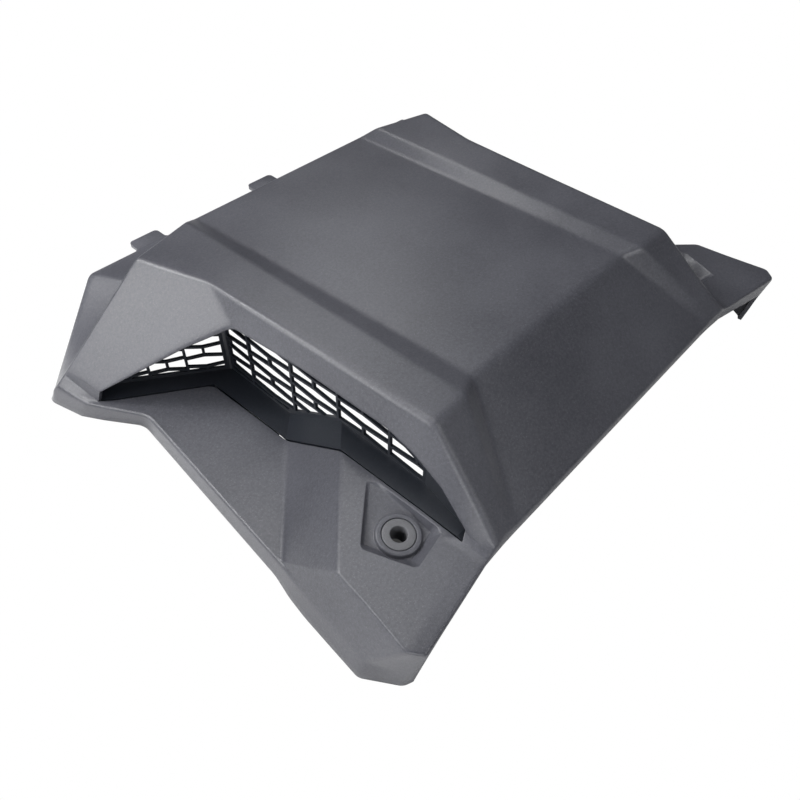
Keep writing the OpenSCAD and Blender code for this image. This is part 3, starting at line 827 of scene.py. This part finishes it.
def grille_piece(side, name, node_name, material):
    """The insert in its CAD shape, merged, with a cheek and with strands rounded by a bevel."""
    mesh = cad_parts[node_name].data.copy()
    corners = np.empty(3 * len(mesh.vertices))
    mesh.vertices.foreach_get("co", corners)
    mesh.vertices.foreach_set("co", seated(corners.reshape(-1, 3) / MM).ravel() * MM)
    shape = bmesh.new()
    shape.from_mesh(mesh)
    bmesh.ops.remove_doubles(shape, verts=shape.verts, dist=0.1 * MM)
    bmesh.ops.dissolve_limit(
        shape, angle_limit=math.radians(0.5), verts=shape.verts, edges=shape.edges
    )
    plate, faces = cheek(side)
    plate_corners = [shape.verts.new(corner) for corner in plate]
    for face in faces:
        shape.faces.new([plate_corners[k] for k in face])
    mesh.name = name
    shape.to_mesh(mesh)
    shape.free()
    mesh.materials.clear()
    mesh.materials.append(material)
    piece = bpy.data.objects.new(name, mesh)
    bpy.context.collection.objects.link(piece)
    break_edges(piece, "soft_edges", 0.4, 25)
    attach(piece, "root")
    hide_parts(node_name)


def bush_piece(side, name, node_name, material):
    """A flanged bush: a profile turned round the leaning axis, closed through its bore."""
    angles = np.linspace(0, 2 * math.pi, BUSH_SIDES, endpoint=False)
    foot = BOSS_H + COLLAR + WALL + FIT + BARB_H
    profile = [
        (BUSH_BORE_R, 0), (BUSH_FACE_R, 0), (BUSH_FACE_R, -FACE_H), (BUSH_NECK_R, -FACE_H),
        (BUSH_NECK_R, -foot + BARB_H), (BUSH_NECK_R + 1.5, -foot + BARB_H),
        (BUSH_NECK_R + 0.5, -foot), (BUSH_BORE_R, -foot), (BUSH_BORE_R, 0),
    ]
    keys = np.stack([at_bush(r, BOSS_H + h, angles) for r, h in profile])
    # The profile overlaps itself by one key at either end, so that its seam is rounded too
    closed = np.concatenate([keys[-2:-1], keys, keys[1:2]])
    reach = [0, 0.6, 0.7, 0.2, 0.2, 0.2, 0.3, 0.3, 0.4, 0.6, 0]
    rings, places = soften(closed, reach, [2] * 10, steps=4)
    seam = (places[1][0] + places[1][1]) // 2
    rings = rings[seam:len(rings) - 1 - seam] * point(side, 1, 1)
    number = np.arange(len(rings) * BUSH_SIDES).reshape(-1, BUSH_SIDES)
    below, after = np.roll(number, -1, axis=0), np.roll(number, -1, axis=1)
    faces = np.stack([number, after, np.roll(below, -1, axis=1), below], axis=-1).reshape(-1, 4)
    if side < 0:
        faces = faces[:, ::-1]
    points = in_frame(rings.reshape(-1, 3))
    piece = new_piece(name, points, faces.tolist(), material)
    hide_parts(node_name)


# The floor under the bushes gets a painted shade, standing for the cover's shade, which a camera
# above sees through their bores; at a flat angle a painted reflection of the white surroundings
# replaces it
SHADE_AT = (0.14, -0.092, 0)
SHADE_REACH = (0.034, 0.036, 1)
FLOOR_HALF = 3.0


def surroundings():
    """A faint cool light from all round, which the camera sees as white."""
    world = bpy.data.worlds.new("studio")
    bpy.context.scene.world = world
    world.use_nodes = True
    tree = world.node_tree
    light = tree.nodes["Background"]
    light.inputs["Color"].default_value = (0.92, 0.95, 1, 1)
    light.inputs["Strength"].default_value = 0.025
    white = node(tree, "ShaderNodeBackground")
    white.inputs["Color"].default_value = (1, 1, 1, 1)
    seen = node(tree, "ShaderNodeLightPath")
    choose = node(tree, "ShaderNodeMixShader")
    link(tree, seen.outputs["Is Camera Ray"], choose.inputs[0])
    link(tree, light.outputs[0], choose.inputs[1])
    link(tree, white.outputs[0], choose.inputs[2])
    link(tree, choose.outputs[0], tree.nodes["World Output"].inputs["Surface"])


def floor_paint():
    """Pale paint that the camera sees as white, with a painted shade under the bushes.

    The painted shade is a smooth step of the distance from (|x|, y) to SHADE_AT, in units of
    SHADE_REACH. Where the floor is seen at a flat angle, a painted reflection of the white
    surroundings covers it.
    """
    paint = bpy.data.materials.new("pale_floor")
    paint.use_nodes = True
    tree = paint.node_tree
    shader = tree.nodes["Principled BSDF"]
    shader.inputs["Base Color"].default_value = (0.9, 0.9, 0.9, 1)
    shader.inputs["Roughness"].default_value = 0.9
    place = node(tree, "ShaderNodeTexCoord")
    apart = node(tree, "ShaderNodeSeparateXYZ")
    folded = node(tree, "ShaderNodeMath", operation="ABSOLUTE")
    joined = node(tree, "ShaderNodeCombineXYZ")
    offset = node(tree, "ShaderNodeVectorMath", operation="SUBTRACT")
    offset.inputs[1].default_value = SHADE_AT
    scaled = node(tree, "ShaderNodeVectorMath", operation="DIVIDE")
    scaled.inputs[1].default_value = SHADE_REACH
    reach = node(tree, "ShaderNodeVectorMath", operation="LENGTH")
    # painted shade: darker emission under the bushes
    shade = node(tree, "ShaderNodeMapRange", interpolation_type="SMOOTHSTEP")
    shade.inputs["From Min"].default_value = 0.45
    shade.inputs["From Max"].default_value = 1.35
    shade.inputs["To Min"].default_value = 0.04
    link(tree, place.outputs["Object"], apart.inputs[0])
    link(tree, apart.outputs["X"], folded.inputs[0])
    link(tree, folded.outputs[0], joined.inputs["X"])
    link(tree, apart.outputs["Y"], joined.inputs["Y"])
    link(tree, joined.outputs[0], offset.inputs[0])
    link(tree, offset.outputs[0], scaled.inputs[0])
    link(tree, scaled.outputs[0], reach.inputs[0])
    link(tree, reach.outputs["Value"], shade.inputs["Value"])
    # painted reflection: white again where the floor is seen at a flat angle
    tilt = node(tree, "ShaderNodeLayerWeight")
    glare = node(tree, "ShaderNodeMapRange")
    glare.inputs["From Min"].default_value = 0.15
    glare.inputs["From Max"].default_value = 0.4
    link(tree, tilt.outputs["Facing"], glare.inputs["Value"])
    brightest = node(tree, "ShaderNodeMath", operation="MAXIMUM")
    link(tree, shade.outputs["Result"], brightest.inputs[0])
    link(tree, glare.outputs["Result"], brightest.inputs[1])
    glow = node(tree, "ShaderNodeEmission")
    link(tree, brightest.outputs[0], glow.inputs["Strength"])
    seen = node(tree, "ShaderNodeLightPath")
    choose = node(tree, "ShaderNodeMixShader")
    link(tree, seen.outputs["Is Camera Ray"], choose.inputs[0])
    link(tree, shader.outputs[0], choose.inputs[1])
    link(tree, glow.outputs[0], choose.inputs[2])
    link(tree, choose.outputs[0], tree.nodes["Material Output"].inputs["Surface"])
    return paint


def studio_floor():
    """A plain square floor at the skirt's foot."""
    corners = [(-1, -1, 0), (1, -1, 0), (1, 1, 0), (-1, 1, 0)]
    mesh = bpy.data.meshes.new("floor")
    mesh.from_pydata((np.array(corners) * FLOOR_HALF).tolist(), [], [(0, 1, 2, 3)])
    mesh.materials.append(floor_paint())
    floor = bpy.data.objects.new("floor", mesh)
    bpy.context.collection.objects.link(floor)


def soft_lamps():
    """Rectangular lamps, each facing the middle of the part."""
    # name, where it hangs, width and height, power in watts
    lamps = (
        ("left_softbox", (-0.66, 0.32, 0.42), 0.5, 0.45, 4.3),
        ("crease_light", (-0.4, 0.6, 0.75), 0.2, 0.2, 3.8),
        ("overhead", (0, 0.2, 0.85), 0.6, 0.6, 2.1),
        ("rear_high", (0.1, 0.35, 1.3), 1, 1, 3),
        ("far_light", (0.61, 0.79, 1.02), 0.25, 0.25, 1.8),
        ("front_left", (-0.75, -0.55, 0.3), 0.4, 0.4, 2.6),
        ("front_high", (0.1, -0.8, 0.9), 0.4, 0.4, 2.6),
    )
    for name, place, width, height, power in lamps:
        data = bpy.data.lights.new(name, "AREA")
        data.energy = power
        data.shape = "RECTANGLE"
        data.size = width
        data.size_y = height
        lamp = bpy.data.objects.new(name, data)
        lamp.location = place
        lamp.rotation_euler = Vector(place).to_track_quat("Z", "Y").to_euler()
        bpy.context.collection.objects.link(lamp)


def camera():
    """The photograph's viewpoint: above the front left corner, looking across the bonnet.

    Its place and lens were solved from the cover's symmetry and its parallel edges.
    """
    data = bpy.data.cameras.new("view")
    data.sensor_width = 36
    data.lens = 32.4
    view = bpy.data.objects.new("view", data)
    view.location = (-0.2949, -0.2395, 0.350)
    view.rotation_euler = (math.radians(42.61), math.radians(-1.32), math.radians(-47.63))
    bpy.context.collection.objects.link(view)
    bpy.context.scene.camera = view


camera()
surroundings()
studio_floor()
soft_lamps()
grain = grain_and_painted_reflection()
cover_plastic = plastic("cover_plastic", grain, (0.049, 0.05, 0.06), (0.093, 0.095, 0.111),
                        (0.3, 0.3, 0.32), 0.35, 1800, 0.4)
mesh_plastic = plastic("mesh_plastic", grain, (0.012, 0.014, 0.019), (0.018, 0.021, 0.028),
                       (0.08, 0.09, 0.11), 0.34, 1500, 0.15)
bush_plastic = plastic("bush_plastic", grain, (0.1, 0.102, 0.11), (0.13, 0.132, 0.142),
                       (0.3, 0.3, 0.32), 0.45, 1800, 0.25)
cover_piece(cover_plastic)
grille_piece(-1, "grille_left_moulded", "grille_left", mesh_plastic)
grille_piece(1, "grille_right_moulded", "grille_right", mesh_plastic)
bush_piece(-1, "bush_left_turned", "bush_left", bush_plastic)
bush_piece(1, "bush_right_turned", "bush_right", bush_plastic)

bpy.context.scene.view_settings.view_transform = "Standard"
